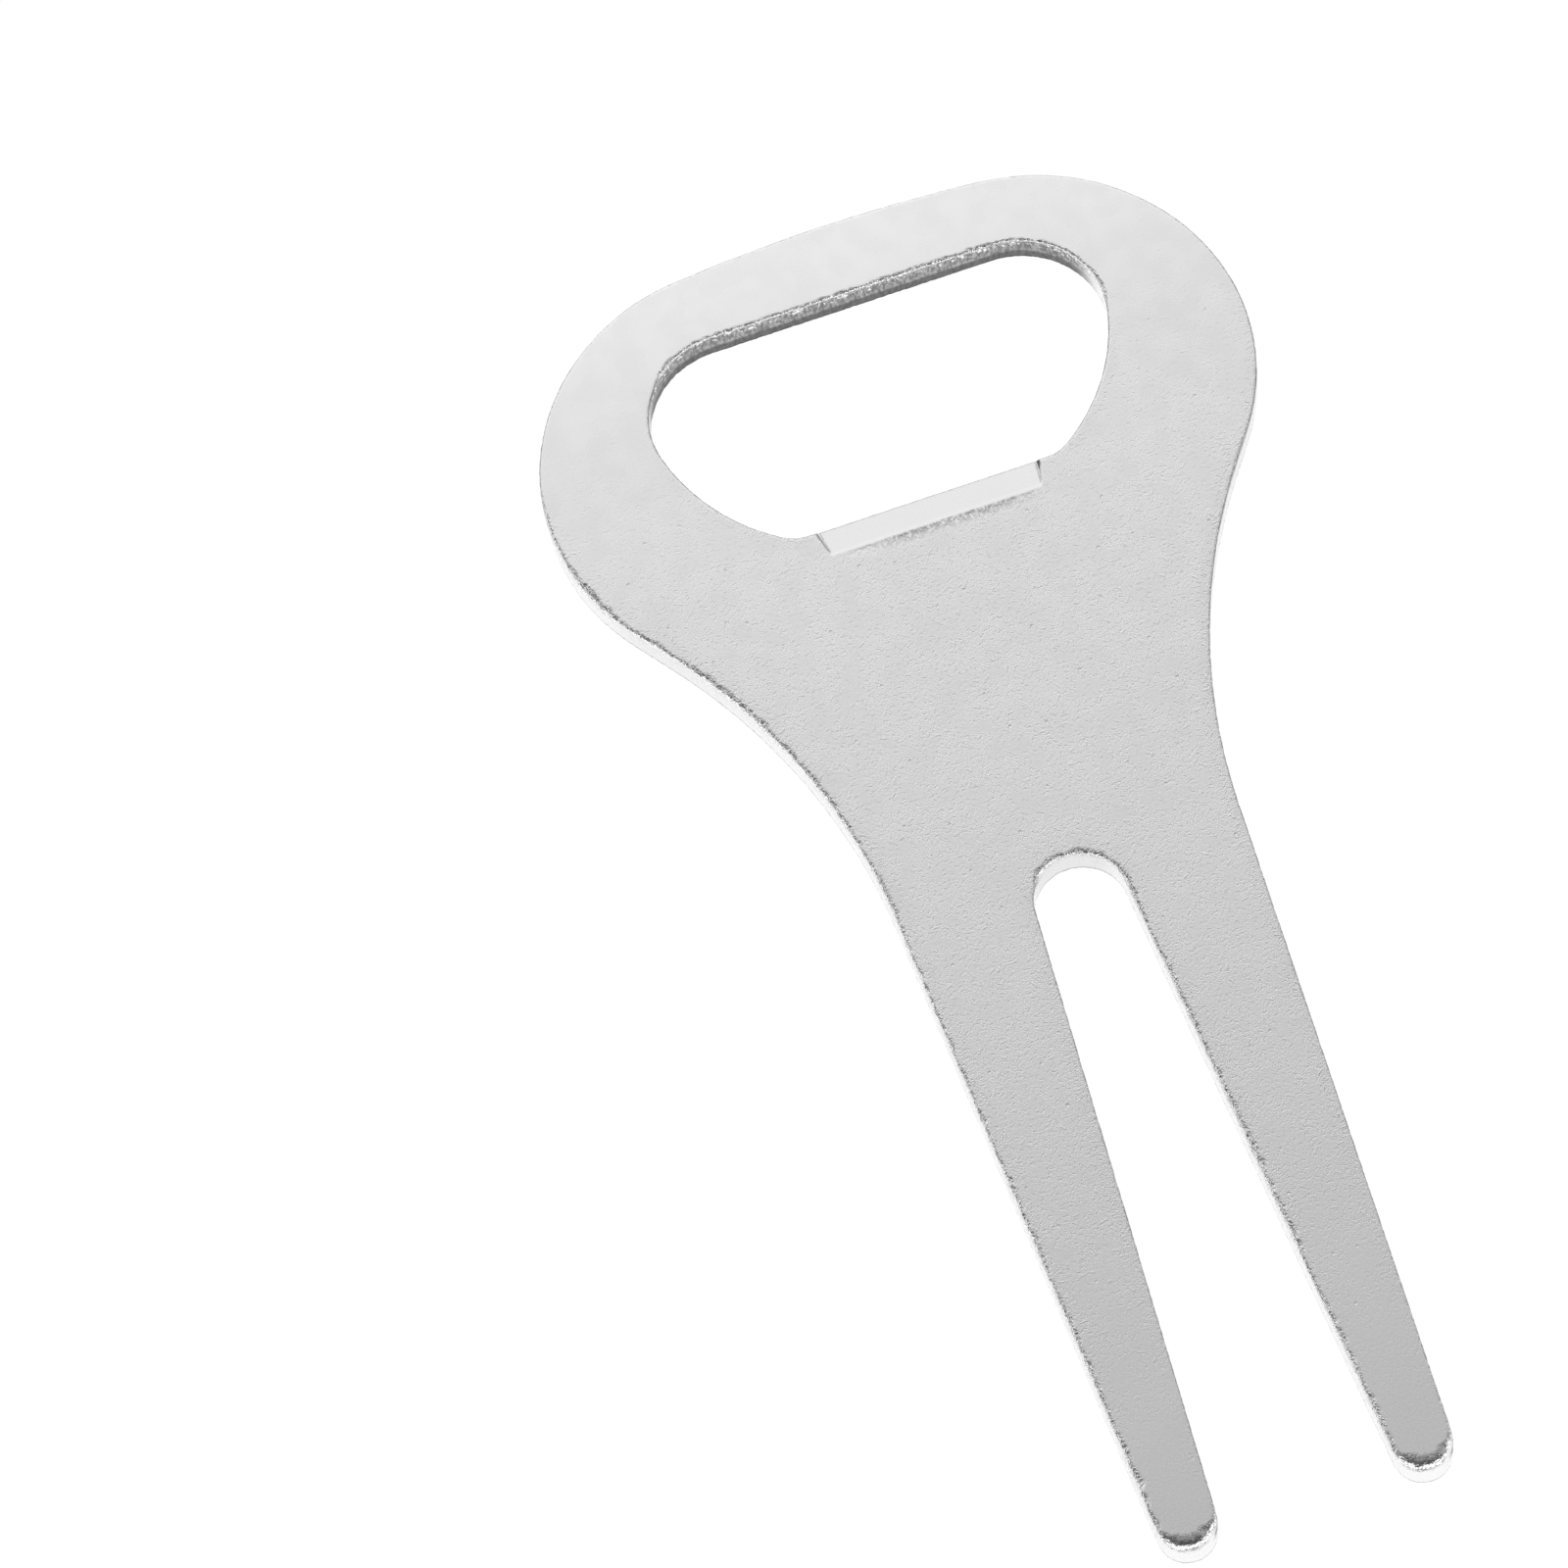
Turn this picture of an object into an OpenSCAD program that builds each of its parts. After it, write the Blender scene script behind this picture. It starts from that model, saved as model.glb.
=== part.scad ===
// Divot repair tool: one plate of stamped sheet steel. Its two tines lift turf, and the
// opening in its head hangs the tool up and lifts bottle caps with a pressed lip.
// The plate lies flat. The origin is on its underside, halfway along its length and width.
// +X runs across the head, +Y from the tines to the head, and +Z out of the face with the
// lip. Sizes are in millimetres.

/* [Sheet] */
// Length from the tine tips to the top of the head
tool_len = 75; // [72:0.5:80]
// Thickness of the sheet
sheet_t = 1.8; // [1.5:0.1:2.5]
// Longest straight step along a curve of the outline
curve_step = 0.35; // [0.2:0.05:0.6]

/* [Head] */
// Width of the head at its widest
head_w = 37.6; // [36:0.2:39]
// Radius of the bowed top edge
bow_r = 85; // [60:5:150]
// Radius of the head's two corners
head_r = 11.6; // [11:0.1:12.2]

/* [Waist] */
// Width across the narrowest part of the waist
waist_w = 18.2; // [17:0.2:19]
// Radius of the hollow that leads from the head into a tine
waist_r = 33; // [28:1:38]
// Length of the straight edge between the head's corner and the hollow
cheek_len = 2.5; // [1:0.5:4]

/* [Tines] */
// Distance between the centres of the two round tips
tip_pitch = 12.1; // [11.5:0.1:13]
// Width of a tine across its round tip
tip_w = 3.1; // [2.6:0.1:3.6]
// Width of the slot at its round end
slot_w = 4.7; // [4:0.1:5.4]
// Depth of the slot between the tines
slot_len = 36.8; // [34:0.2:39]

/* [Opening] */
// Width of the opening at its widest
open_w = 24.4; // [23.5:0.1:25.5]
// Height of the opening from its straight bottom to its straight top
open_h = 12.5; // [12:0.1:12.8]
// Width of the rim between the opening and the top of the head
rim_w = 4.2; // [3.6:0.1:5]
// Radius of the opening's upper corners
open_r = 4.6; // [4:0.1:5]
// Radius of the curved sides below those corners
open_side_r = 10.8; // [10.4:0.1:11.4]
// Angle below level at which an upper corner passes into its curved side
open_side_turn = 13; // [11:0.5:15]
// Radius of the opening's lower corners
open_foot_r = 2; // [1:0.1:2.5]

/* [Lip] */
// Width of the pressed lip at its free edge
lip_w = 12; // [10:0.2:12.4]
// Depth of the lip from the opening's edge to its bend line
lip_len = 1.45; // [1:0.05:2.5]
// How far the lip's free edge is pressed below the face
lip_drop = 0.5; // [0.2:0.05:0.8]
// How far pressing has pushed the free edge into the opening
lip_push = 0.2; // [0.05:0.05:0.4]
// How much narrower each end of the lip is at its bend line
lip_taper = 0.3; // [0.1:0.05:0.6]

/* [Hidden] */

steel = [0.78, 0.78, 0.79];
// Shortest edge that an outline keeps
shortest_edge = 0.001;
// How far a cutting shape runs past the metal it cuts
past = 1;

top_y = tool_len / 2;
tip_r = tip_w / 2;
slot_r = slot_w / 2;

// Centre of a head corner, whose circle touches the bow from inside
head_x = head_w / 2 - head_r;
head_y = top_y - bow_r + sqrt(pow(bow_r - head_r, 2) - pow(head_x, 2));
// Centre of a waist hollow, one cheek away from the head corner along their tangent
waist_x = waist_w / 2 + waist_r;
waist_y = head_y - sqrt(pow(head_r + waist_r, 2) + pow(cheek_len, 2) - pow(waist_x - head_x, 2));
tip_y = tip_r - tool_len / 2;
slot_y = slot_len - tool_len / 2 - slot_r;

open_top = top_y - rim_w;
open_bottom = open_top - open_h;
// Centre of an upper corner of the opening
corner_x = open_w / 2 - open_r;
corner_y = open_top - open_r;
// Centre of a curved side, which touches its upper corner from outside
side_x = corner_x - (open_side_r - open_r) * cos(open_side_turn);
side_y = corner_y + (open_side_r - open_r) * sin(open_side_turn);
// Centre of a lower corner, which touches the curved side from inside
foot_y = open_bottom + open_foot_r;
foot_x = side_x + sqrt(pow(open_side_r - open_foot_r, 2) - pow(side_y - foot_y, 2));

bend_y = open_bottom - lip_len;
nose_y = open_bottom + lip_push;
lip_fall = lip_drop / (nose_y - bend_y);

// An outline is a ring of circles [x, y, r] joined by their common tangents, listed
// clockwise. The metal curves around a circle with a positive r and is hollowed by one
// with a negative r.
plate_ring = [
    [0, top_y - bow_r, bow_r],
    [head_x, head_y, head_r],
    [waist_x, waist_y, -waist_r],
    [tip_pitch / 2, tip_y, tip_r],
    [0, slot_y, -slot_r],
    [-tip_pitch / 2, tip_y, tip_r],
    [-waist_x, waist_y, -waist_r],
    [-head_x, head_y, head_r]
];
opening_ring = [
    [corner_x, corner_y, open_r],
    [side_x, side_y, open_side_r],
    [foot_x, foot_y, open_foot_r],
    [-foot_x, foot_y, open_foot_r],
    [-side_x, side_y, open_side_r],
    [-corner_x, corner_y, open_r]
];

function wrap(angle) = angle - 360 * floor(angle / 360);

// Direction from a circle's centre to its end of the tangent from circle a to circle b
function tangent_angle(a, b) =
    let (gap = norm([b.x - a.x, b.y - a.y]))
    atan2(b.y - a.y, b.x - a.x) + acos(max(-1, min(1, (a.z - b.z) / gap)));

// Points on circle c where the outline follows it from one angle to another
function arc_points(c, from, to) =
    let (turn = c.z > 0 ? -wrap(from - to) : wrap(to - from))
    let (steps = ceil(abs(turn * c.z) * PI / 180 / curve_step))
    [for (i = [0:steps])
        let (angle = from + turn * i / steps)
        [c.x + c.z * cos(angle), c.y + c.z * sin(angle)]];

// The outline around a ring, without the doubled points where two arcs touch
function ring_points(ring) =
    let (n = len(ring))
    let (raw = [for (i = [0:n - 1])
        let (before = ring[(i + n - 1) % n], after = ring[(i + 1) % n])
        each arc_points(ring[i], tangent_angle(before, ring[i]), tangent_angle(ring[i], after))])
    [for (i = [0:len(raw) - 1])
        if (norm(raw[i] - raw[(i + 1) % len(raw)]) > shortest_edge) raw[i]];

module plate_outline() {
    polygon(ring_points(plate_ring));
}

// The opening, less the metal that pressing has pushed into it
module opening_outline() {
    difference() {
        polygon(ring_points(opening_ring));
        translate([-lip_w / 2, open_bottom - past])
            square([lip_w, past + lip_push]);
    }
}

// Outline of the lip seen from above, run past its free edge at the same taper
module lip_outline() {
    bend_half = lip_w / 2 - lip_taper;
    far_half = bend_half + lip_taper * (nose_y + past - bend_y) / (nose_y - bend_y);
    polygon([
        [-bend_half, bend_y],
        [bend_half, bend_y],
        [far_half, nose_y + past],
        [-far_half, nose_y + past]
    ]);
}

// Space above the lip's slope, which falls from the bend line towards the opening
module lip_space() {
    far_y = nose_y + past;
    intersection() {
        linear_extrude(sheet_t + past)
            lip_outline();
        translate([-lip_w, 0, 0])
            rotate([90, 0, 90])
                linear_extrude(2 * lip_w)
                    polygon([
                        [bend_y, sheet_t],
                        [far_y, sheet_t - lip_fall * (far_y - bend_y)],
                        [far_y, sheet_t + past],
                        [bend_y, sheet_t + past]
                    ]);
    }
}

module stamped_plate() {
    color(steel)
        difference() {
            linear_extrude(sheet_t)
                difference() {
                    plate_outline();
                    opening_outline();
                }
            lip_space();
        }
}

stamped_plate();
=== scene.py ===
"""Looks of the divot repair tool: one stamped plate of satin nickel-coloured steel.

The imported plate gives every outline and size. This script rebuilds its surface as a finer mesh
with the marks of stamping and tumbling: rolled upper edges, sheared walls, ground tine tips,
the pressed lip with its bruised bend line, and a faintly uneven face. Sizes are in millimetres
where nothing else is said, and become metres in the mesh.
"""

import math
from types import SimpleNamespace

import bmesh
import bpy
import numpy as np
from mathutils import Matrix, Vector, noise
from mathutils.geometry import delaunay_2d_cdt


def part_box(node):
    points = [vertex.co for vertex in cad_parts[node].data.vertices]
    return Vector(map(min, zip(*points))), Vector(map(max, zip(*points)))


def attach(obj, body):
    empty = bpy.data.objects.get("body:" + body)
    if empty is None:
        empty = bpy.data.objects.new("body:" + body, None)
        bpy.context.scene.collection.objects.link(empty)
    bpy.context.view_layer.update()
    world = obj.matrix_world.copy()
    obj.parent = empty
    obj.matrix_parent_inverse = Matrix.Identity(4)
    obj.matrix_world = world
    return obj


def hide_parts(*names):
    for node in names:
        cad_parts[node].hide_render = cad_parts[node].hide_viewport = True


MM = 0.001
SEED = 7

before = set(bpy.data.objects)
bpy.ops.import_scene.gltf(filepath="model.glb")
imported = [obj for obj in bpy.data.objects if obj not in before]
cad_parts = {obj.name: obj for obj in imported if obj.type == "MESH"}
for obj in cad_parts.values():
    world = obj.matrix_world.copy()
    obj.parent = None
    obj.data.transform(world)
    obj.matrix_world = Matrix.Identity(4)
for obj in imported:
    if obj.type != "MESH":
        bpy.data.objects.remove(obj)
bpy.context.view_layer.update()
plate_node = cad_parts["stamped_plate"]
plate_low, plate_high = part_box("stamped_plate")
TIP_Y = plate_low.y / MM
HEAD_Y = plate_high.y / MM
SHEET = plate_high.z / MM
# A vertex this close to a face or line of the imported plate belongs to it
TOUCH = 0.01

# How the outlines are sampled and smoothed
LOOP_STEP = 0.11
LOOP_BLUR = 0.12
# How the faces are filled, plain and around the lip, and how far the fill stays from the sweep
FACE_STEP = 0.34
LIP_STEP = 0.075
FACE_GAP = 0.17
LIP_GAP = 0.05
# How far the finer fill reaches beyond the lip, across and along the plate
LIP_MARGIN = (0.4, 0.5)
# Rows of the swept edge: places on the flat face, counts over the rolled edge, down the wall
# and around the lower edge, and places on the underside
FACE_ROWS = (0.42, 0.24, 0.1)
ROLL_ROWS = 10
WALL_ROWS = 12
FOOT_ROWS = 4
UNDER_ROWS = (0.12, 0.34)

# Rolled upper edge: width on the face and depth down the wall, plain and at a tine's end
ROLL_WIDTH = 0.35
ROLL_DEPTH = 0.28
TIP_ROLL_WIDTH = 0.8
TIP_ROLL_DEPTH = 0.62
# A tine's end is partly ground over the first length from its tip, and wholly over the second
TIP_REACH = 2.4
TIP_FULL = 0.5
# The punch sat off centre: edges that look these ways are rolled less, to a thin line with painted shade
FAR_SIDES = np.array([[0.75, 0.66], [0.0, 1.0]])
FAR_ROLL = 0.1
LEAST_ROLL = 0.06
# How much less the opening's torn edge is rolled, as a share
TORN_SLIM = 0.45
# Lower edge, where the blank broke away
FOOT_ROUND = 0.09
# How unevenly the edge is rolled: length of the slow changes and of the dents, and their shares
# of the width and of the depth
WANDER_LENGTH = 0.9
WANDER_SHARES = (0.12, 0.10)
DENT_LENGTH = 0.14
DENT_SHARES = (0.14, 0.10)
# Sheared wall: width of its upright streaks, size of the torn grain, and how far each leans in
STREAK_WIDTH = 0.1
STREAK_DEPTH = 0.012
TORN_GRAIN = 0.2
TORN_DEPTH = 0.03
# Heights between which the wall goes from sheared, above, to torn, below
TORN_HEIGHTS = (1.15, 0.5)
# Marks that tumbling has hammered into the rolled edge: size, and depth inwards and downwards
HAMMER_SIZE = 0.16
HAMMER_IN = 0.045
HAMMER_DOWN = 0.035
# How much weaker dents and hammer marks are at the tips and on the far sides, as shares
DENT_CALM = 0.7
HAMMER_CALM = 0.6
# Distance over which the face beside an edge is rougher
RIM_REACH = 0.9

# How much narrower the lip is at its bend line, on each side
LIP_TAPER = 0.3
# Half width of the rounded bend
BEND_SOFT = 0.12
# The lip is at least this deep, so its bend line is at least this far behind its free edge
LEAST_LIP = 0.3
# Where pressing fades out at the lip's sides, measured outwards from them
LIP_SIDES = (0.02, -0.12)
# How far pressing reaches behind the bend line, and beyond the free edge
LIP_ZONE = (1.5, 0.6)
# How the lip's outward push grows from the underside to the upper face, as a power
LIP_SHEAR = 0.7
# Bruised line beside the bend: distance, width, length of its fading ends, plain and uneven
# depth, and size of its grain
BRUISE_GAP = 0.3
BRUISE_WIDTH = 0.18
BRUISE_FADE = 1.5
BRUISE_DEPTH = 0.006
BRUISE_UNEVEN = 0.01
BRUISE_GRAIN = 0.16
# Long waves of the sheet
WAVE_SIZE = 5.0
WAVE_HEIGHT = 0.004

# Fine relief of the plating, given to the material as bumps
PEEL_HEIGHT = 0.0066
PEEL_SQUEEZE = 1.7
MARK_DEPTH = 0.0027
PIT_DEPTH = 0.01
EDGE_HEIGHT = 0.07
WALL_HEIGHT = 0.06
SCUFF_DEPTH = 0.01
# Wear of the face: where it turns from smooth to rough below the head's top, over what length
# above the tips it turns smooth again, and the share of the relief burnished off the lip
ROUGH_FROM = 2
ROUGH_FULL = 24
SMOOTH_TIPS = 24
LIP_BURNISH = 0.7
# Plating: brightness, roughness of the face and how much it varies, roughness of the rolled
# edge, and what tearing and scuffing add to it
STEEL_BRIGHTNESS = 0.88
FACE_ROUGHNESS = 0.27
ROUGHNESS_CHANGE = 0.015
EDGE_ROUGHNESS = 0.13
DULL_ROUGHNESS = 0.15
# Changes of brightness: clouds, speckle, painted light on the walls, and painted light on the head's end
# down to a reach
CLOUD = 0.006
SPECKLE = 0.18
WALL_PAINTED_LIGHT = 0.06
HEAD_PAINTED_LIGHT = 0.08
HEAD_REACH = 11.5
# Shares of the brightness that are lost on the scuff, and to painted shade in the crevices at
# the lip's ends, on the far edges, along the lower edge and on the slot's end
SCUFF_SHADE = 0.17
LIP_END_SHADE = 0.85
FAR_SHADE = 0.6
FOOT_SHADE = 0.7
SLOT_SHADE = 0.16
# Painted shade in the crevices at the lip's right and left ends: side, half width at the free edge, and
# length
LIP_END_SHADES = ((1, 0.08, 0.95), (-1, 0.035, 1.4))

# Floor: half its side in metres, gap below the plate, glow, and grey of its surface
FLOOR_REACH = 6.0
FLOOR_GAP = 0.02
FLOOR_GLOW = 0.97
FLOOR_GREY = 0.1

# Brightness of the studio along an arch over the tool. Angles go up from the horizon behind
# the head (0), over the ceiling (90), to the horizon behind the camera (180).
ARCH = (
    (0, 0.95),
    (25, 0.87),
    (40, 0.98),
    (52, 1.52),
    (60, 1.47),
    (67, 0.82),
    (74, 0.16),
    (82, 0.08),
    (88, 0.42),
    (93, 0.42),
    (98, 0.06),
    (150, 0.06),
    (165, 0.5),
    (180, 0.9),
)
# Brightness to the left and right above the horizon, close to the horizon on both sides,
# and where the arch gives way to the sides
LEFT_LIGHT = 0.12
RIGHT_LIGHT = 0.4
SIDE_LOW = 0.9
SIDE_FROM = 0.28
SIDE_TO = 0.6
# Two narrow strip lights in the dark parts, which make worked edges glint: one in front, as
# angles along the arch, and one on the left, as heights on the unit sphere
FRONT_STRIP = (136, 150)
LEFT_STRIP = (0.3, 0.42)
STRIP_LIGHT = 2.2

# Camera: the point it looks at, how far away it is, and how it is turned around that point
AIM = Vector((-11.97, 8.01, SHEET)) * MM
DISTANCE = 446.1 * MM
AZIMUTH = math.radians(-8.76)
ELEVATION = math.radians(65.04)
CAMERA_ROLL = math.radians(-10.55)
LENS = 203.6
SENSOR = 36.0


# ---------------------------------------------------------------- outlines from the frame


def underside_loops(node):
    """Closed outlines of the node's underside, as arrays of points, the longest first."""
    bm = bmesh.new()
    bm.from_mesh(node.data)
    bmesh.ops.remove_doubles(bm, verts=bm.verts[:], dist=TOUCH * MM / 10)
    neighbours = {}
    for edge in bm.edges:
        down = sum(face.normal.z < -0.9 for face in edge.link_faces)
        if down == 1 and len(edge.link_faces) == 2:
            a, b = (vert.index for vert in edge.verts)
            neighbours.setdefault(a, []).append(b)
            neighbours.setdefault(b, []).append(a)
    bm.verts.ensure_lookup_table()
    loops = []
    left = set(neighbours)
    while left:
        walk = [min(left)]
        left.discard(walk[0])
        while True:
            ahead = [v for v in neighbours[walk[-1]] if v in left]
            if not ahead:
                break
            walk.append(min(ahead))
            left.discard(walk[-1])
        loops.append(np.array([bm.verts[v].co.xy[:] for v in walk]) / MM)
    bm.free()
    return sorted(loops, key=lambda loop: -np.ptp(loop[:, 1]))


def lip_sizes(node, opening):
    """Free edge, bend line, half width and drop of the pressed lip, read from the CAD plate."""
    co = np.array([vert.co[:] for vert in node.data.vertices]) / MM
    between = co[(co[:, 2] > TOUCH) & (co[:, 2] < SHEET - TOUCH)]
    floor_y = opening[:, 1].min()
    half = abs(between[:, 0]).max()
    behind = co[:, 1] < floor_y - LEAST_LIP
    top = co[(co[:, 2] > SHEET - TOUCH) & (abs(co[:, 0]) < half) & behind]
    return SimpleNamespace(
        edge_y=floor_y,
        nose_y=between[:, 1].max(),
        bend_y=top[:, 1].max(),
        half=half,
        drop=SHEET - between[:, 2].min(),
    )


def plate_outlines():
    """The lip's sizes, and the plate's outer outline and opening as they were cut."""
    outer, opening = underside_loops(plate_node)
    lip = lip_sizes(plate_node, opening)
    pushed = (abs(opening[:, 0]) < lip.half + 5 * TOUCH) & (opening[:, 1] < lip.nose_y + 5 * TOUCH)
    opening[pushed, 1] = lip.edge_y
    return lip, [smooth_loop(outer, False), smooth_loop(opening, True)]


def even_points(loop, step):
    """The closed loop as evenly spaced points about one step apart."""
    closed = np.vstack([loop, loop[:1]])
    reach = np.concatenate([[0], np.cumsum(np.hypot(*np.diff(closed, axis=0).T))])
    count = int(round(reach[-1] / step))
    at = np.arange(count) * reach[-1] / count
    return np.stack([np.interp(at, reach, closed[:, k]) for k in (0, 1)], axis=1)


def blurred(values, spacing, width):
    """Values around a closed loop, smoothed with a Gaussian of that width."""
    waves = np.fft.fftfreq(len(values), spacing)
    kernel = np.exp(-2 * (np.pi * waves * width) ** 2)
    spectrum = np.fft.fft(values, axis=0)
    return np.fft.ifft(spectrum * (kernel[:, None] if values.ndim == 2 else kernel), axis=0).real


def smooth_loop(loop, opening):
    """The loop with its short chords rounded out, running so that the metal is on its left."""
    fine = even_points(loop, LOOP_STEP / 3)
    fine = blurred(fine, LOOP_STEP / 3, LOOP_BLUR)
    loop = even_points(fine, LOOP_STEP)
    area = np.sum(loop[:, 0] * np.roll(loop[:, 1], -1) - loop[:, 1] * np.roll(loop[:, 0], -1))
    return loop if (area > 0) != opening else loop[::-1]


def outward(loop):
    """Unit normals that point away from the metal."""
    along = np.roll(loop, -1, axis=0) - np.roll(loop, 1, axis=0)
    along /= np.hypot(along[:, 0], along[:, 1])[:, None]
    return np.stack([along[:, 1], -along[:, 0]], axis=1)


def inside(points, loops):
    """Which points are inside an odd number of the loops."""
    odd = np.zeros(len(points), bool)
    for loop in loops:
        ax, ay = loop.T
        bx, by = np.roll(loop, -1, axis=0).T
        for k in range(len(loop)):
            crosses = (ay[k] > points[:, 1]) != (by[k] > points[:, 1])
            if crosses.any():
                slope = (bx[k] - ax[k]) / (by[k] - ay[k])
                odd[crosses] ^= points[crosses, 0] < ax[k] + slope * (points[crosses, 1] - ay[k])
    return odd


# ---------------------------------------------------------------- small maths


def smoothstep(low, high, value):
    share = np.clip((value - low) / (high - low), 0, 1)
    return share * share * (3 - 2 * share)


def noise_at(points, size, seed):
    """Smooth noise from -1 to 1 at 3-D points, with features of about that size."""
    return np.array([noise.noise(Vector(p) / size + Vector((seed, -seed, 2 * seed))) for p in points])


def changes_along(rng, count, length):
    """Random values along a loop that change over about that length, with a spread of 1."""
    values = blurred(rng.normal(size=count), LOOP_STEP, length)
    return values / values.std()


# ---------------------------------------------------------------- the swept edge


def tip_share(loop, normals):
    """How much of each point of a loop belongs to a ground tine tip."""
    near = smoothstep(TIP_Y + TIP_REACH, TIP_Y + TIP_FULL, loop[:, 1])
    return near * (0.25 + 0.75 * smoothstep(0.0, 0.75, -normals[:, 1]))


def far_share(normals):
    """How much of each point of a loop belongs to the edges that were rolled least."""
    return smoothstep(-0.1, 0.3, (normals @ FAR_SIDES.T).max(1))


def torn_share(normals, punched):
    """How much of each point of a loop belongs to the punched wall that looks to the tines."""
    return punched * smoothstep(0.2, 0.8, -normals[:, 1])


def roll_sizes(loop, normals, rng, punched):
    """Width and depth of the rolled edge at each point of a loop."""
    wander = changes_along(rng, len(loop), WANDER_LENGTH)
    dents = changes_along(rng, len(loop), DENT_LENGTH)
    tips = tip_share(loop, normals)
    far = far_share(normals)
    dents *= 1 - DENT_CALM * np.maximum(tips, far)
    sizes = []
    for k, (plain, tip) in enumerate(((ROLL_WIDTH, TIP_ROLL_WIDTH), (ROLL_DEPTH, TIP_ROLL_DEPTH))):
        size = plain + (FAR_ROLL - plain) * far
        size += (tip - size) * tips
        size *= 1 - TORN_SLIM * torn_share(normals, punched)
        size *= 1 + WANDER_SHARES[k] * wander + DENT_SHARES[k] * dents
        sizes.append(np.clip(size, LEAST_ROLL, None))
    return sizes


def edge_section(width, depth):
    """The swept edge, row by row: from the flat upper face over the rolled edge and down the
    sheared wall to the flat underside. Gives insets, heights, and how much each row is rolled
    edge and wall. Insets and heights have one line per point of the loop."""
    rows = []
    for extra in FACE_ROWS:
        rows.append((width + extra, SHEET, 0.0, 0.0))
    for turn in np.radians(np.linspace(0, 90, ROLL_ROWS)):
        out, down = math.sin(turn), 1 - math.cos(turn)
        rows.append((width * (1 - out), SHEET - depth * down, float(smoothstep(0.0, 0.25, out)), out ** 4))
    for share in np.arange(1, WALL_ROWS) / WALL_ROWS:
        height = (SHEET - depth) * (1 - share) + FOOT_ROUND * share
        rows.append((0.0, height, max(0.0, 1 - 5 * share), 1.0))
    for turn in np.radians(np.linspace(0, 90, FOOT_ROWS)):
        rows.append((FOOT_ROUND * (1 - math.cos(turn)), FOOT_ROUND * (1 - math.sin(turn)), 0.0, 1.0))
    for extra in UNDER_ROWS:
        rows.append((FOOT_ROUND + extra, 0.0, 0.0, 0.0))
    insets, heights = (np.stack([row[k] + np.zeros(len(width)) for row in rows], 1) for k in (0, 1))
    rolls, walls = (np.array([row[k] for row in rows]) for k in (2, 3))
    return insets, heights, rolls, walls


def sweep(loop, rng, punched):
    """The swept edge of one loop: its vertices as (points, rows, 3), and its masks."""
    normals = outward(loop)
    insets, heights, rolls, walls = edge_section(*roll_sizes(loop, normals, rng, punched))
    xy = loop[:, None, :] - normals[:, None, :] * insets[:, :, None]
    ring = np.concatenate([xy, heights[:, :, None]], axis=2)
    count, rows = insets.shape
    flat = ring.reshape(-1, 3)
    tips, far = tip_share(loop, normals)[:, None], far_share(normals)[:, None]
    # Shear marks: upright streaks on the wall, and a torn band that leans in below them
    streaks = changes_along(rng, count, STREAK_WIDTH)
    grained = noise_at(flat, TORN_GRAIN, SEED + 3).reshape(count, rows)
    torn = smoothstep(*TORN_HEIGHTS, heights)
    lean = walls * (STREAK_DEPTH * abs(streaks)[:, None] + TORN_DEPTH * torn * (1 + abs(grained)))
    # Tumbling has hammered the rolled edge
    hammer = noise_at(flat, HAMMER_SIZE, SEED + 9).reshape(count, rows)
    calm = 1 - HAMMER_CALM * np.maximum(tips, far)
    lean += rolls * HAMMER_IN * np.clip(hammer, 0, 1) * calm
    ring[:, :, :2] -= normals[:, None, :] * lean[:, :, None]
    ring[:, :, 2] -= rolls * (1 - walls) * HAMMER_DOWN * np.clip(-hammer, 0, 1) * calm
    upper = heights > SHEET / 2
    masks = {
        "roll": np.tile(rolls, (count, 1)),
        "wall": np.tile(walls, (count, 1)),
        "rim": np.exp(-insets / RIM_REACH) * upper,
        "tip": tips * rolls,
        "facing": -normals[:, 1:] * walls,
        "far": far * rolls * (insets < FAR_ROLL / 2) * upper,
        "punched": np.full((count, rows), punched),
    }
    return ring, masks


def swept_faces(count, rows, first):
    """Four-sided faces between the rows of a swept ring whose vertices start at first."""
    i = np.arange(count)[:, None]
    j = np.arange(rows - 1)[None, :]
    here = first + i * rows + j
    there = first + ((i + 1) % count) * rows + j
    return np.stack([here, here + 1, there + 1, there], axis=2).reshape(-1, 4)


# ---------------------------------------------------------------- the faces


def hex_grid(low, high, step):
    """Points of a grid of equal triangles over a box."""
    grid = []
    for row, y in enumerate(np.arange(low[1], high[1], step * math.sqrt(3) / 2)):
        x = np.arange(low[0], high[0], step) + (row % 2) * step / 2
        grid.append(np.stack([x, np.full(len(x), y)], axis=1))
    return np.vstack(grid)


def clear_of(points, border, gap):
    """Which points stay at least a gap away from every border point."""
    keep = np.ones(len(points), bool)
    batch = 2000
    for start in range(0, len(points), batch):
        part = points[start:start + batch]
        apart = np.hypot(part[:, None, 0] - border[None, :, 0], part[:, None, 1] - border[None, :, 1])
        keep[start:start + batch] = apart.min(1) > gap
    return keep


def fill_points(rings, lip):
    """Points inside the rings: a plain grid, and a finer one around the lip if there is one."""
    border = np.vstack(rings)
    grid = hex_grid(border.min(0), border.max(0), FACE_STEP)
    grid = grid[inside(grid, rings)]
    grid = grid[clear_of(grid, border, FACE_GAP)]
    if lip is None:
        return grid
    low = np.array([-lip.half - LIP_MARGIN[0], lip.bend_y - LIP_MARGIN[1]])
    high = np.array([lip.half + LIP_MARGIN[0], lip.edge_y])
    fine = hex_grid(low, high, LIP_STEP)
    fine = fine[inside(fine, rings)]
    fine = fine[clear_of(fine, border, LIP_GAP)]
    outside = ((grid < low - LIP_STEP) | (grid > high + LIP_STEP)).any(axis=1)
    return np.vstack([grid[outside], fine])


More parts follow.
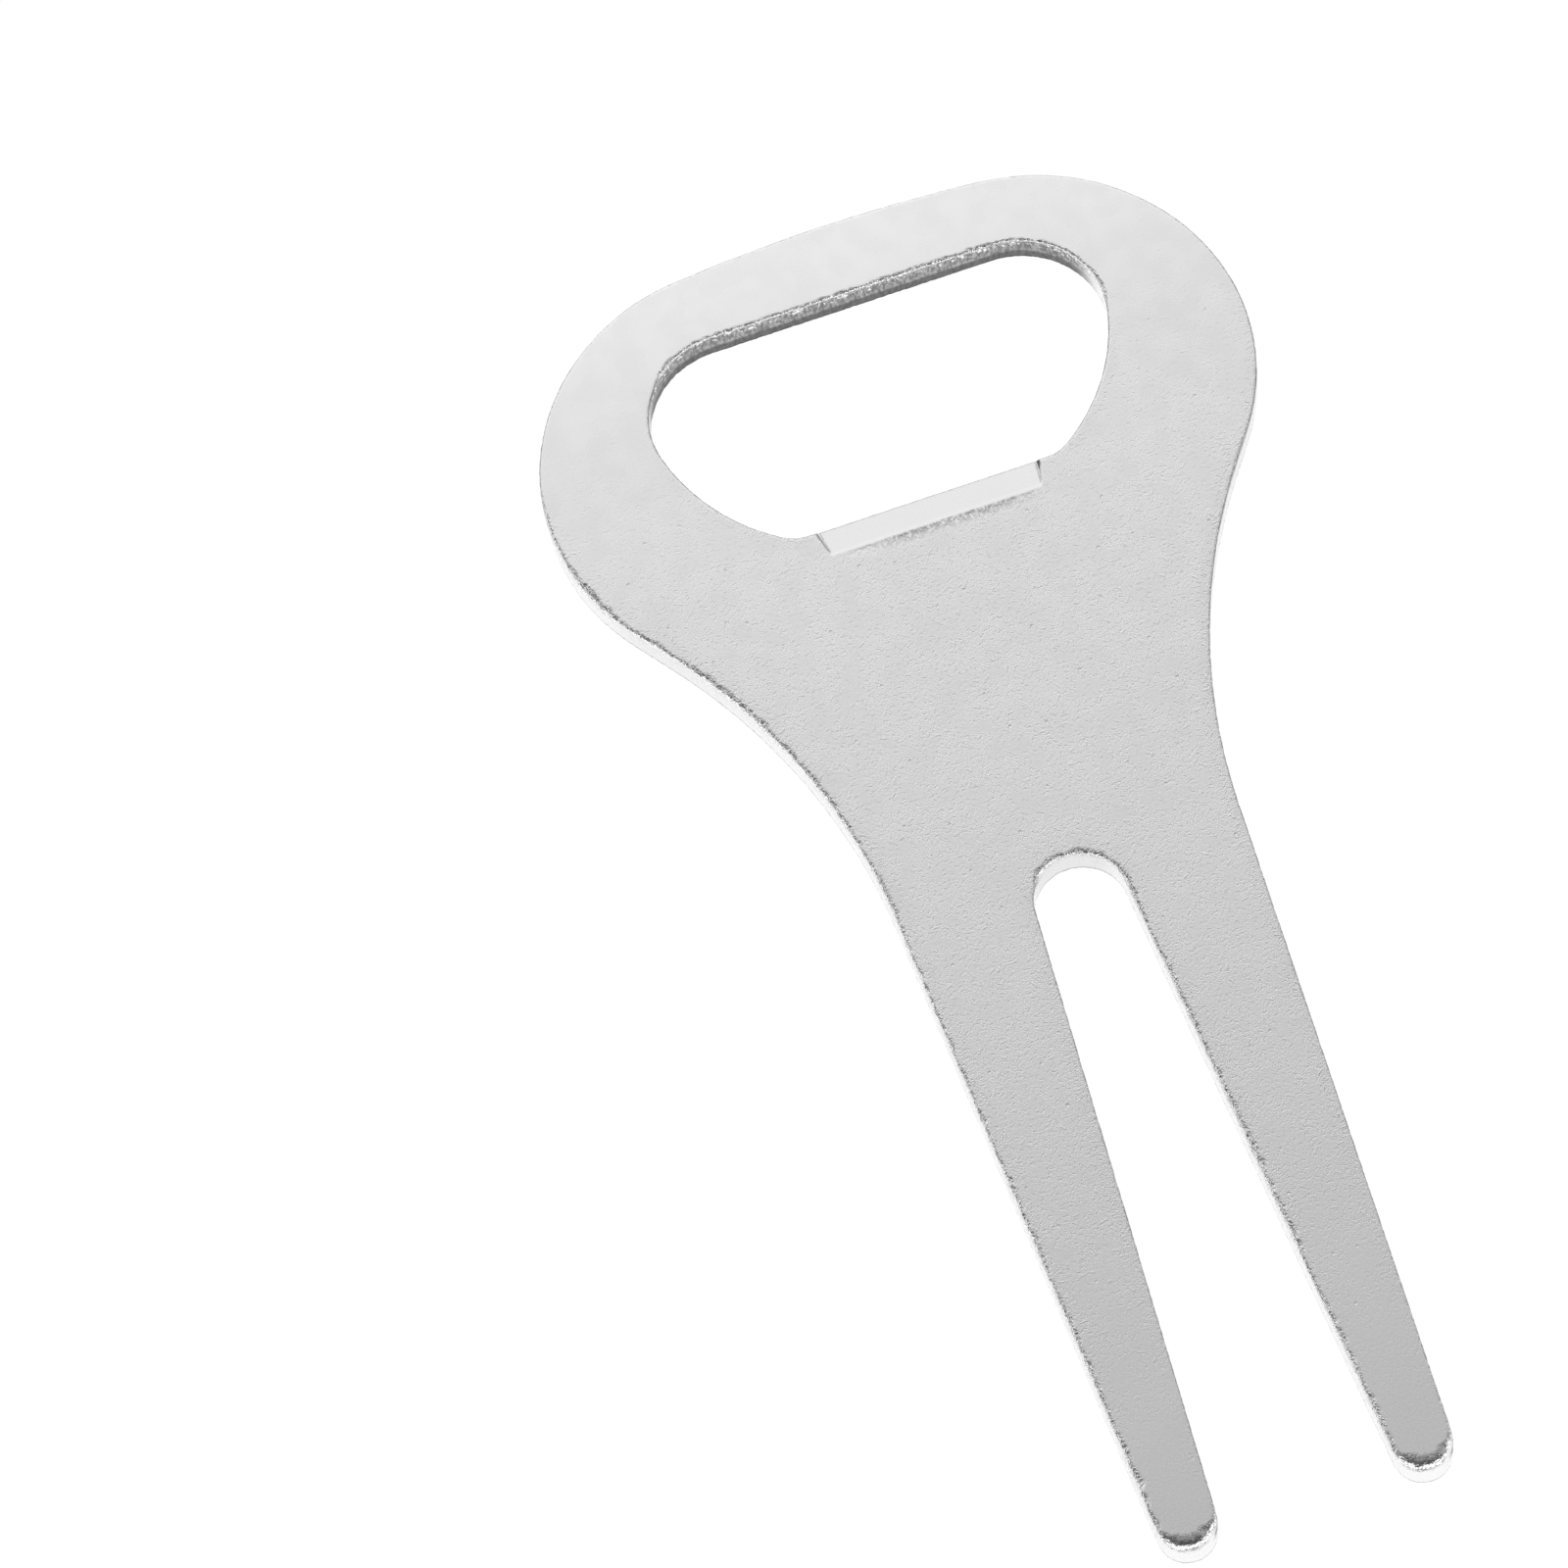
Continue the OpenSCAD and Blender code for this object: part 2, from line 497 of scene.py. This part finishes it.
def fill_face(rings, height, lip):
    """Vertices and triangles that fill one face inside the given rings, at one height."""
    points = np.vstack(rings + [fill_points(rings, lip)])
    edges, first = [], 0
    for ring in rings:
        n = len(ring)
        edges += [(first + k, first + (k + 1) % n) for k in range(n)]
        first += n
    # Output type 0 fills the whole hull, so triangles outside the rings are dropped after it
    done = delaunay_2d_cdt([Vector(p) for p in points], edges, [], 0, 1e-6)
    triangles = np.array([face for face in done[2] if len(face) == 3])
    source = np.array([ids[0] if ids else -1 for ids in done[3]])
    triangles = source[triangles]
    triangles = triangles[inside(points[triangles].mean(1), rings)]
    return np.column_stack([points, np.full(len(points), height)]), triangles


def press_lip(co, lip):
    """Presses the lip down and out into the opening, bruises its bend line, and returns the
    mask of its upper face."""
    x, y, z = co.T.copy()
    past = y - lip.bend_y
    past = np.where(abs(past) < BEND_SOFT, (past + BEND_SOFT) ** 2 / (4 * BEND_SOFT), past)
    run = np.clip(past / (lip.edge_y - lip.bend_y), 0, 1.2)
    half = lip.half - LIP_TAPER * (1 - run)
    across = smoothstep(half + LIP_SIDES[0], half + LIP_SIDES[1], abs(x))
    near = across * (y > lip.bend_y - LIP_ZONE[0]) * (y < lip.edge_y + LIP_ZONE[1])
    share = np.clip(z / SHEET, 0, 1)
    top = share > 0.9
    co[:, 2] -= lip.drop * run * near * share
    co[:, 1] += (lip.nose_y - lip.edge_y) * run * near * share ** LIP_SHEAR
    along = smoothstep(half, half - BRUISE_FADE, abs(x))
    bruise = np.exp(-(((y - lip.bend_y + BRUISE_GAP) / BRUISE_WIDTH) ** 2)) * along * top
    grained = np.clip(noise_at(co, BRUISE_GRAIN, SEED + 5), -0.5, 1)
    co[:, 2] -= bruise * (BRUISE_DEPTH + BRUISE_UNEVEN * grained)
    return near * (run > 0) * top


def plate_surface(lip, loops):
    """Vertices, faces and masks of the whole plate, still flat around the lip."""
    rng = np.random.default_rng(SEED)
    swept = [sweep(loop, rng, punched) for punched, loop in enumerate(loops)]
    names = list(swept[0][1])
    co = [ring.reshape(-1, 3) for ring, _ in swept]
    masks = {name: [mask[name].ravel() for _, mask in swept] for name in names}
    faces, starts, first = [], [], 0
    for ring, _ in swept:
        count, rows = ring.shape[:2]
        faces.append(swept_faces(count, rows, first))
        starts.append(first)
        first += count * rows
    for row, height, fine_lip in ((0, SHEET, lip), (-1, 0.0, None)):
        rings = [ring[:, row, :2] for ring, _ in swept]
        points, triangles = fill_face(rings, height, fine_lip)
        ids = []
        for (ring, _), start in zip(swept, starts):
            count, rows = ring.shape[:2]
            ids.append(start + np.arange(count) * rows + row % rows)
        border = sum(len(ring) for ring in rings)
        new = points[border:]
        ids.append(first + np.arange(len(new)))
        first += len(new)
        co.append(new)
        for parts in masks.values():
            parts.append(np.zeros(len(new)))
        faces.append(np.concatenate(ids)[triangles])
    masks = {name: np.concatenate(parts) for name, parts in masks.items()}
    return np.vstack(co), faces, masks


def build_plate(lip, loops):
    co, faces, masks = plate_surface(lip, loops)
    # The sheet isn't quite flat: long shallow waves
    co[:, 2] += WAVE_HEIGHT * noise_at(co, WAVE_SIZE, SEED)
    masks["facet"] = press_lip(co, lip)
    co[:, 2] = np.clip(co[:, 2], 0, SHEET)
    mesh = bpy.data.meshes.new("plate_surface")
    mesh.from_pydata((co * MM).tolist(), [], [face for part in faces for face in part.tolist()])
    for name, values in masks.items():
        attribute = mesh.attributes.new(name, "FLOAT", "POINT")
        attribute.data.foreach_set("value", values.astype(np.float32))
    bm = bmesh.new()
    bm.from_mesh(mesh)
    bmesh.ops.recalc_face_normals(bm, faces=bm.faces[:])
    bm.to_mesh(mesh)
    bm.free()
    mesh.shade_smooth()
    piece = bpy.data.objects.new("plate_surface", mesh)
    bpy.context.scene.collection.objects.link(piece)
    return piece


# ---------------------------------------------------------------- building blocks of materials


def add(tree, kind, settings=None, **inputs):
    """A new node. Input names are written with underscores; a socket as value is linked."""
    made = tree.nodes.new(kind)
    for name, value in (settings or {}).items():
        setattr(made, name, value)
    for name, value in inputs.items():
        feed(tree, made.inputs[name.replace("_", " ")], value)
    return made


def feed(tree, socket, value):
    if isinstance(value, bpy.types.NodeSocket):
        tree.links.new(value, socket)
    else:
        socket.default_value = value


def calc(tree, operation, *values):
    made = add(tree, "ShaderNodeMath", {"operation": operation})
    for socket, value in zip(made.inputs, values):
        feed(tree, socket, value)
    return made.outputs[0]


def product(tree, *values):
    """The product of sockets and numbers."""
    result = values[0]
    for value in values[1:]:
        result = calc(tree, "MULTIPLY", result, value)
    return result


def total(tree, *values):
    """The sum of sockets and numbers."""
    result = values[0]
    for value in values[1:]:
        result = calc(tree, "ADD", result, value)
    return result


def inverse(tree, value):
    """1 minus the value."""
    return calc(tree, "SUBTRACT", 1.0, value)


def darkened(tree, value, where_dark, share):
    """The value, less that share of it where the mask is 1."""
    return product(tree, value, inverse(tree, product(tree, where_dark, share)))


def blend(tree, factor, start, end):
    """From start to end as the factor goes from 0 to 1."""
    return add(tree, "ShaderNodeMix", {"data_type": "FLOAT"}, Factor=factor, A=start, B=end).outputs[0]


def ramp(tree, value, low, high, start=0.0, end=1.0):
    """Smooth change from start to end while the value goes from low to high."""
    made = add(
        tree, "ShaderNodeMapRange", {"interpolation_type": "SMOOTHSTEP"},
        Value=value, From_Min=low, From_Max=high, To_Min=start, To_Max=end,
    )
    return made.outputs["Result"]


def split_xyz(tree, vector):
    made = add(tree, "ShaderNodeSeparateXYZ", Vector=vector)
    return [made.outputs[name] for name in "XYZ"]


def grain(tree, where, size, detail=2.0, twist=0.0):
    """Noise from 0 to 1 with features of about that size."""
    made = add(tree, "ShaderNodeTexNoise", Vector=where, Scale=1 / size, Detail=detail, Distortion=twist)
    return made.outputs["Fac"]


def stretched(tree, where, x, y, z, turn=0.0):
    """Coordinates turned about Z and multiplied along each axis."""
    made = add(tree, "ShaderNodeMapping", {"vector_type": "POINT"}, Vector=where)
    made.inputs["Rotation"].default_value = (0, 0, math.radians(turn))
    made.inputs["Scale"].default_value = (x, y, z)
    return made.outputs["Vector"]


def mask(tree, name):
    return add(tree, "ShaderNodeAttribute", {"attribute_name": name}).outputs["Fac"]


def uneven(tree, where, size, height, detail=1.0, twist=0.3):
    """Relief of about that height, up and down around the true surface."""
    return product(tree, calc(tree, "SUBTRACT", grain(tree, where, size, detail, twist), 0.5), height)


def strokes(tree, where, per_mm, length, width, share):
    """Mask of short straight marks with a random place and direction each."""
    cells = add(tree, "ShaderNodeTexVoronoi", {"voronoi_dimensions": "2D"}, Vector=where, Scale=per_mm)
    away = add(tree, "ShaderNodeVectorMath", {"operation": "SUBTRACT"})
    feed(tree, away.inputs[0], where)
    feed(tree, away.inputs[1], cells.outputs["Position"])
    chance = add(tree, "ShaderNodeSeparateColor", Color=cells.outputs["Color"])
    turned = add(
        tree, "ShaderNodeVectorRotate", {"rotation_type": "Z_AXIS"},
        Vector=away.outputs[0], Angle=product(tree, chance.outputs["Red"], 2 * math.pi),
    )
    lengthwise, sideways, _ = split_xyz(tree, turned.outputs[0])
    return product(
        tree,
        ramp(tree, calc(tree, "ABSOLUTE", lengthwise), 0.3 * length, 0.5 * length, 1.0, 0.0),
        ramp(tree, calc(tree, "ABSOLUTE", sideways), 0.2 * width, 0.5 * width, 1.0, 0.0),
        calc(tree, "LESS_THAN", chance.outputs["Green"], share),
    )


# ---------------------------------------------------------------- the plated steel


def face_relief(tree, where):
    """Height of the face's fine unevenness: orange peel, short marks, pits."""
    squeezed = stretched(tree, where, PEEL_SQUEEZE, 1.0, 1.0)
    return total(
        tree,
        uneven(tree, squeezed, size=0.18, height=0.34 * PEEL_HEIGHT),
        uneven(tree, squeezed, size=0.085, height=PEEL_HEIGHT),
        product(tree, strokes(tree, where, per_mm=3.2, length=0.24, width=0.09, share=0.6), -MARK_DEPTH),
        product(tree, strokes(tree, where, per_mm=1.3, length=0.4, width=0.11, share=0.25), MARK_DEPTH),
        product(tree, strokes(tree, where, per_mm=0.35, length=0.16, width=0.16, share=0.5), -PIT_DEPTH),
    )


def edge_relief(tree, where):
    """Height of the hammered texture of the rolled edge."""
    return uneven(tree, where, size=0.15, height=EDGE_HEIGHT, detail=2.0, twist=0.6)


def wall_relief(tree, where, height):
    """Height of the wall's upright shear marks, deepest near the upper edge."""
    upright = stretched(tree, where, 1.0, 1.0, 0.45)
    marks = uneven(tree, upright, size=0.14, height=WALL_HEIGHT, detail=2.0, twist=0.5)
    return product(tree, marks, ramp(tree, height, 0.6, 1.1, 0.25, 1.0))


def punched_shade(tree, where, height):
    """Brightness of a torn wall, as painted shade: painted glints above, streaks in the middle, deepest
    shade below.
    """
    streaks = grain(tree, stretched(tree, where, 1.0, 1.0, 0.3), 0.17, twist=0.6)
    upper = ramp(tree, streaks, 0.36, 0.68, 0.2, 0.46)
    lower = ramp(tree, streaks, 0.3, 0.7, 0.11, 0.18)
    painted_glint_spots = ramp(tree, grain(tree, where, 0.2, detail=1.0, twist=0.8), 0.58, 0.66)
    glints = product(tree, painted_glint_spots, ramp(tree, height, 1.2, 1.45))
    return total(tree, blend(tree, ramp(tree, height, 0.62, 0.85), lower, upper), glints)


def bend_scuff(tree, at, lip):
    """Mask of the scuffed band on the tine side of the lip's bend line."""
    wobble = product(tree, calc(tree, "SUBTRACT", grain(tree, at.where, 1.1), 0.5), 0.3)
    down = calc(tree, "SUBTRACT", lip.bend_y, total(tree, at.along, wobble))
    band = product(tree, ramp(tree, down, 0.05, 0.3), ramp(tree, down, 0.35, 0.9, 1.0, 0.0))
    # The scuff is strongest a little to the right of the middle
    off = calc(tree, "ABSOLUTE", calc(tree, "SUBTRACT", at.across, 0.8))
    fade = ramp(tree, off, 2.0, lip.half - 0.4, 1.0, 0.0)
    streaks = grain(tree, stretched(tree, at.where, 1.0, 0.5, 1.0, turn=-20), 0.16, twist=0.5)
    return product(tree, band, fade, ramp(tree, streaks, 0.38, 0.58))


def lip_cracks(tree, at, lip):
    """Mask of the painted shade in the crevices at the lip's two ends, wider at the free edge."""
    run = lip.nose_y - lip.bend_y
    taper = product(tree, calc(tree, "SUBTRACT", lip.nose_y, at.along), LIP_TAPER / run)
    end = calc(tree, "SUBTRACT", lip.half, taper)
    cracks = 0.0
    for side, width, length in LIP_END_SHADES:
        start = lip.nose_y - length
        off = calc(tree, "ABSOLUTE", calc(tree, "SUBTRACT", product(tree, at.across, side), end))
        open_at = ramp(tree, at.along, start, lip.nose_y - 0.1, 0.0, width)
        line = product(
            tree,
            ramp(tree, calc(tree, "SUBTRACT", off, open_at), -0.02, 0.03, 1.0, 0.0),
            ramp(tree, at.along, start, start + 0.1),
            ramp(tree, at.along, lip.nose_y + 0.05, lip.nose_y + 0.15, 1.0, 0.0),
        )
        cracks = calc(tree, "MAXIMUM", cracks, line)
    return product(tree, cracks, ramp(tree, at.height, SHEET - 0.9, SHEET - 0.7))


def surface_inputs(tree, lip):
    """What the plating depends on: the place in millimetres, and masks of the plate's parts."""
    place = tree.nodes.new("ShaderNodeTexCoord").outputs["Object"]
    scaled = add(tree, "ShaderNodeVectorMath", {"operation": "SCALE"}, Vector=place, Scale=1 / MM)
    at = SimpleNamespace(where=scaled.outputs[0])
    at.across, at.along, at.height = split_xyz(tree, at.where)
    for name in ("roll", "wall", "rim", "tip", "facing", "far", "punched", "facet"):
        setattr(at, name, mask(tree, name))
    at.flat = inverse(tree, calc(tree, "MAXIMUM", at.roll, at.wall))
    # Wear of the face: the head is smoother than the tines, and the lip was burnished
    rough = ramp(tree, at.along, HEAD_Y - ROUGH_FROM, HEAD_Y - ROUGH_FULL, 0.05, 1.0)
    at.worn = darkened(tree, product(tree, rough, at.flat), at.facet, LIP_BURNISH)
    # The opening's walls that look towards the tines were torn most and are rougher; they carry painted
    # shade and painted glints
    at.dull = product(tree, ramp(tree, at.facing, 0.1, 0.6), at.punched, at.wall)
    at.scuff = bend_scuff(tree, at, lip)
    at.cracks = lip_cracks(tree, at, lip)
    return at


def plating_relief(tree, at):
    """Height of the whole surface's relief."""
    amount = product(tree, at.worn, ramp(tree, at.along, TIP_Y, TIP_Y + SMOOTH_TIPS, 0.08, 1.0))
    face = product(tree, face_relief(tree, at.where), total(tree, 1.0, at.rim), amount)
    worked = product(tree, at.roll, ramp(tree, at.tip, 0.0, 1.0, 1.0, 0.45))
    edge = product(tree, edge_relief(tree, at.where), worked)
    sheared = product(tree, at.wall, inverse(tree, at.roll))
    wall = product(tree, wall_relief(tree, at.where, at.height), sheared)
    return total(tree, face, edge, wall, product(tree, at.scuff, -SCUFF_DEPTH))


def plating_brightness(tree, at):
    """Brightness of the plating: clouds and speckle, the scuff, and painted light and painted shade."""
    cloud = ramp(tree, grain(tree, at.where, 6.0, detail=3.0), 0.3, 0.7, -CLOUD, CLOUD)
    speckle = product(tree, calc(tree, "SUBTRACT", grain(tree, at.where, 0.1, detail=1.0), 0.5), SPECKLE)
    # Painted light: the head's far end is painted a little brighter
    head = ramp(tree, at.along, HEAD_Y - HEAD_REACH, HEAD_Y, 0.0, HEAD_PAINTED_LIGHT)
    bright = total(
        tree,
        STEEL_BRIGHTNESS,
        cloud,
        product(tree, speckle, at.worn),
        # Painted light: the walls are painted lighter than the face
        product(tree, at.wall, WALL_PAINTED_LIGHT),
        head,
    )
    # Painted shade and painted glints on the opening's torn walls
    bright = product(tree, bright, blend(tree, at.dull, 1.0, punched_shade(tree, at.where, at.height)))
    # Painted shade: a dark line along the foot of every wall, where it stands on the floor
    painted_foot_shade = product(tree, at.wall, ramp(tree, at.height, 0.1, 0.2, 1.0, 0.0))
    # Painted shade: the slot's end wall is painted a little greyer than the other outer walls
    above_tips = ramp(tree, at.along, TIP_Y + 3, TIP_Y + 6)
    slot_end_shade = product(tree, ramp(tree, at.facing, 0.3, 0.8), inverse(tree, at.punched), above_tips)
    # Beside the scuff, these darken with painted shade: the crevices at the lip's ends, the far edges'
    # thin roll, the foot of each wall and the slot's end
    for dark, share in (
        (at.scuff, SCUFF_SHADE),
        (at.cracks, LIP_END_SHADE),
        (at.far, FAR_SHADE),
        (painted_foot_shade, FOOT_SHADE),
        (slot_end_shade, SLOT_SHADE),
    ):
        bright = darkened(tree, bright, dark, share)
    return bright


def plating_roughness(tree, at):
    """Roughness: satin on the face, smoother on the rolled edge, rougher where it is torn."""
    low, high = FACE_ROUGHNESS - ROUGHNESS_CHANGE, FACE_ROUGHNESS + ROUGHNESS_CHANGE
    satin = ramp(tree, grain(tree, at.where, 1.6, detail=3.0), 0.3, 0.7, low, high)
    smoother = product(tree, at.roll, EDGE_ROUGHNESS - FACE_ROUGHNESS)
    return total(tree, satin, smoother, product(tree, total(tree, at.dull, at.scuff), DULL_ROUGHNESS))


def plated_steel(lip):
    """Satin nickel-coloured plating over stamped steel."""
    material = bpy.data.materials.new("plated_steel")
    material.use_nodes = True
    tree = material.node_tree
    shader = tree.nodes["Principled BSDF"]
    at = surface_inputs(tree, lip)
    bump = add(tree, "ShaderNodeBump", Strength=1.0, Distance=MM, Height=plating_relief(tree, at))
    bright = plating_brightness(tree, at)
    color = add(tree, "ShaderNodeCombineColor", Red=bright, Green=bright, Blue=bright)
    feed(tree, shader.inputs["Normal"], bump.outputs["Normal"])
    feed(tree, shader.inputs["Base Color"], color.outputs["Color"])
    feed(tree, shader.inputs["Roughness"], plating_roughness(tree, at))
    feed(tree, shader.inputs["Metallic"], 1.0)
    return material


# ---------------------------------------------------------------- stage, light and camera


def white_floor():
    material = bpy.data.materials.new("white_floor")
    material.use_nodes = True
    shader = material.node_tree.nodes["Principled BSDF"]
    shader.inputs["Base Color"].default_value = (FLOOR_GREY, FLOOR_GREY, FLOOR_GREY, 1)
    shader.inputs["Roughness"].default_value = 1.0
    shader.inputs["Specular IOR Level"].default_value = 0.0
    shader.inputs["Emission Color"].default_value = (1, 1, 1, 1)
    shader.inputs["Emission Strength"].default_value = FLOOR_GLOW
    return material


def build_floor():
    mesh = bpy.data.meshes.new("floor")
    corners = [(x * FLOOR_REACH, y * FLOOR_REACH, 0) for x, y in ((-1, -1), (1, -1), (1, 1), (-1, 1))]
    mesh.from_pydata(corners, [], [(0, 1, 2, 3)])
    mesh.materials.append(white_floor())
    floor = bpy.data.objects.new("floor", mesh)
    floor.location.z = plate_low.z - FLOOR_GAP * MM
    bpy.context.scene.collection.objects.link(floor)


def strip(tree, value, ends):
    """1 between the two ends and 0 outside, with soft borders."""
    soft = 0.25 * (ends[1] - ends[0])
    rise = ramp(tree, value, ends[0] - soft, ends[0] + soft)
    return product(tree, rise, ramp(tree, value, ends[1] - soft, ends[1] + soft, 1.0, 0.0))


def arch_light(tree, turn):
    """Brightness along the arch, for an angle given as a share of the half turn."""
    arch = add(tree, "ShaderNodeValToRGB", Fac=turn)
    stops = arch.color_ramp.elements
    while len(stops) < len(ARCH):
        stops.new(0.5)
    for stop, (angle, light) in zip(stops, ARCH):
        stop.position = angle / 180
        stop.color = (light, light, light, 1)
    arch.color_ramp.interpolation = "B_SPLINE"
    return arch.outputs[0]


def studio_world():
    """A bright wall behind the head, a mostly dark ceiling and left side, and a pale horizon."""
    world = bpy.data.worlds.new("studio")
    world.use_nodes = True
    bpy.context.scene.world = world
    tree = world.node_tree
    x, y, z = split_xyz(tree, tree.nodes.new("ShaderNodeTexCoord").outputs["Generated"])
    turn = calc(tree, "DIVIDE", calc(tree, "ARCTAN2", calc(tree, "MAXIMUM", z, 0.0), y), math.pi)
    high_light = ramp(tree, x, -0.1, 0.1, LEFT_LIGHT, RIGHT_LIGHT)
    side = blend(tree, ramp(tree, z, 0.03, 0.16, 1.0, 0.0), high_light, SIDE_LOW)
    aside = ramp(tree, calc(tree, "ABSOLUTE", x), SIDE_FROM, SIDE_TO)
    plain = blend(tree, aside, arch_light(tree, turn), side)
    front = strip(tree, product(tree, turn, 180.0), FRONT_STRIP)
    left = product(tree, strip(tree, z, LEFT_STRIP), ramp(tree, x, -0.5, -0.6))
    light = total(tree, plain, product(tree, calc(tree, "MAXIMUM", front, left), STRIP_LIGHT))
    # The camera sees plain white behind the floor
    seen = add(tree, "ShaderNodeLightPath").outputs["Is Camera Ray"]
    back = tree.nodes["Background"]
    feed(tree, back.inputs["Color"], (1, 1, 1, 1))
    feed(tree, back.inputs["Strength"], blend(tree, seen, light, 1.0))


def build_camera():
    data = bpy.data.cameras.new("camera")
    data.lens = LENS
    data.sensor_width = SENSOR
    data.clip_start = 0.01
    camera = bpy.data.objects.new("camera", data)
    bpy.context.scene.collection.objects.link(camera)
    ahead = Vector((
        -math.sin(AZIMUTH) * math.cos(ELEVATION),
        math.cos(AZIMUTH) * math.cos(ELEVATION),
        -math.sin(ELEVATION),
    ))
    turn = ahead.to_track_quat("-Z", "Y") @ Matrix.Rotation(CAMERA_ROLL, 4, "Z").to_quaternion()
    camera.matrix_world = Matrix.Translation(AIM - ahead * DISTANCE) @ turn.to_matrix().to_4x4()
    bpy.context.scene.camera = camera


lip, loops = plate_outlines()
plate = build_plate(lip, loops)
plate.data.materials.append(plated_steel(lip))
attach(plate, "root")
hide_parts("stamped_plate")
build_floor()
studio_world()
build_camera()
bpy.context.scene.view_settings.view_transform = "Standard"
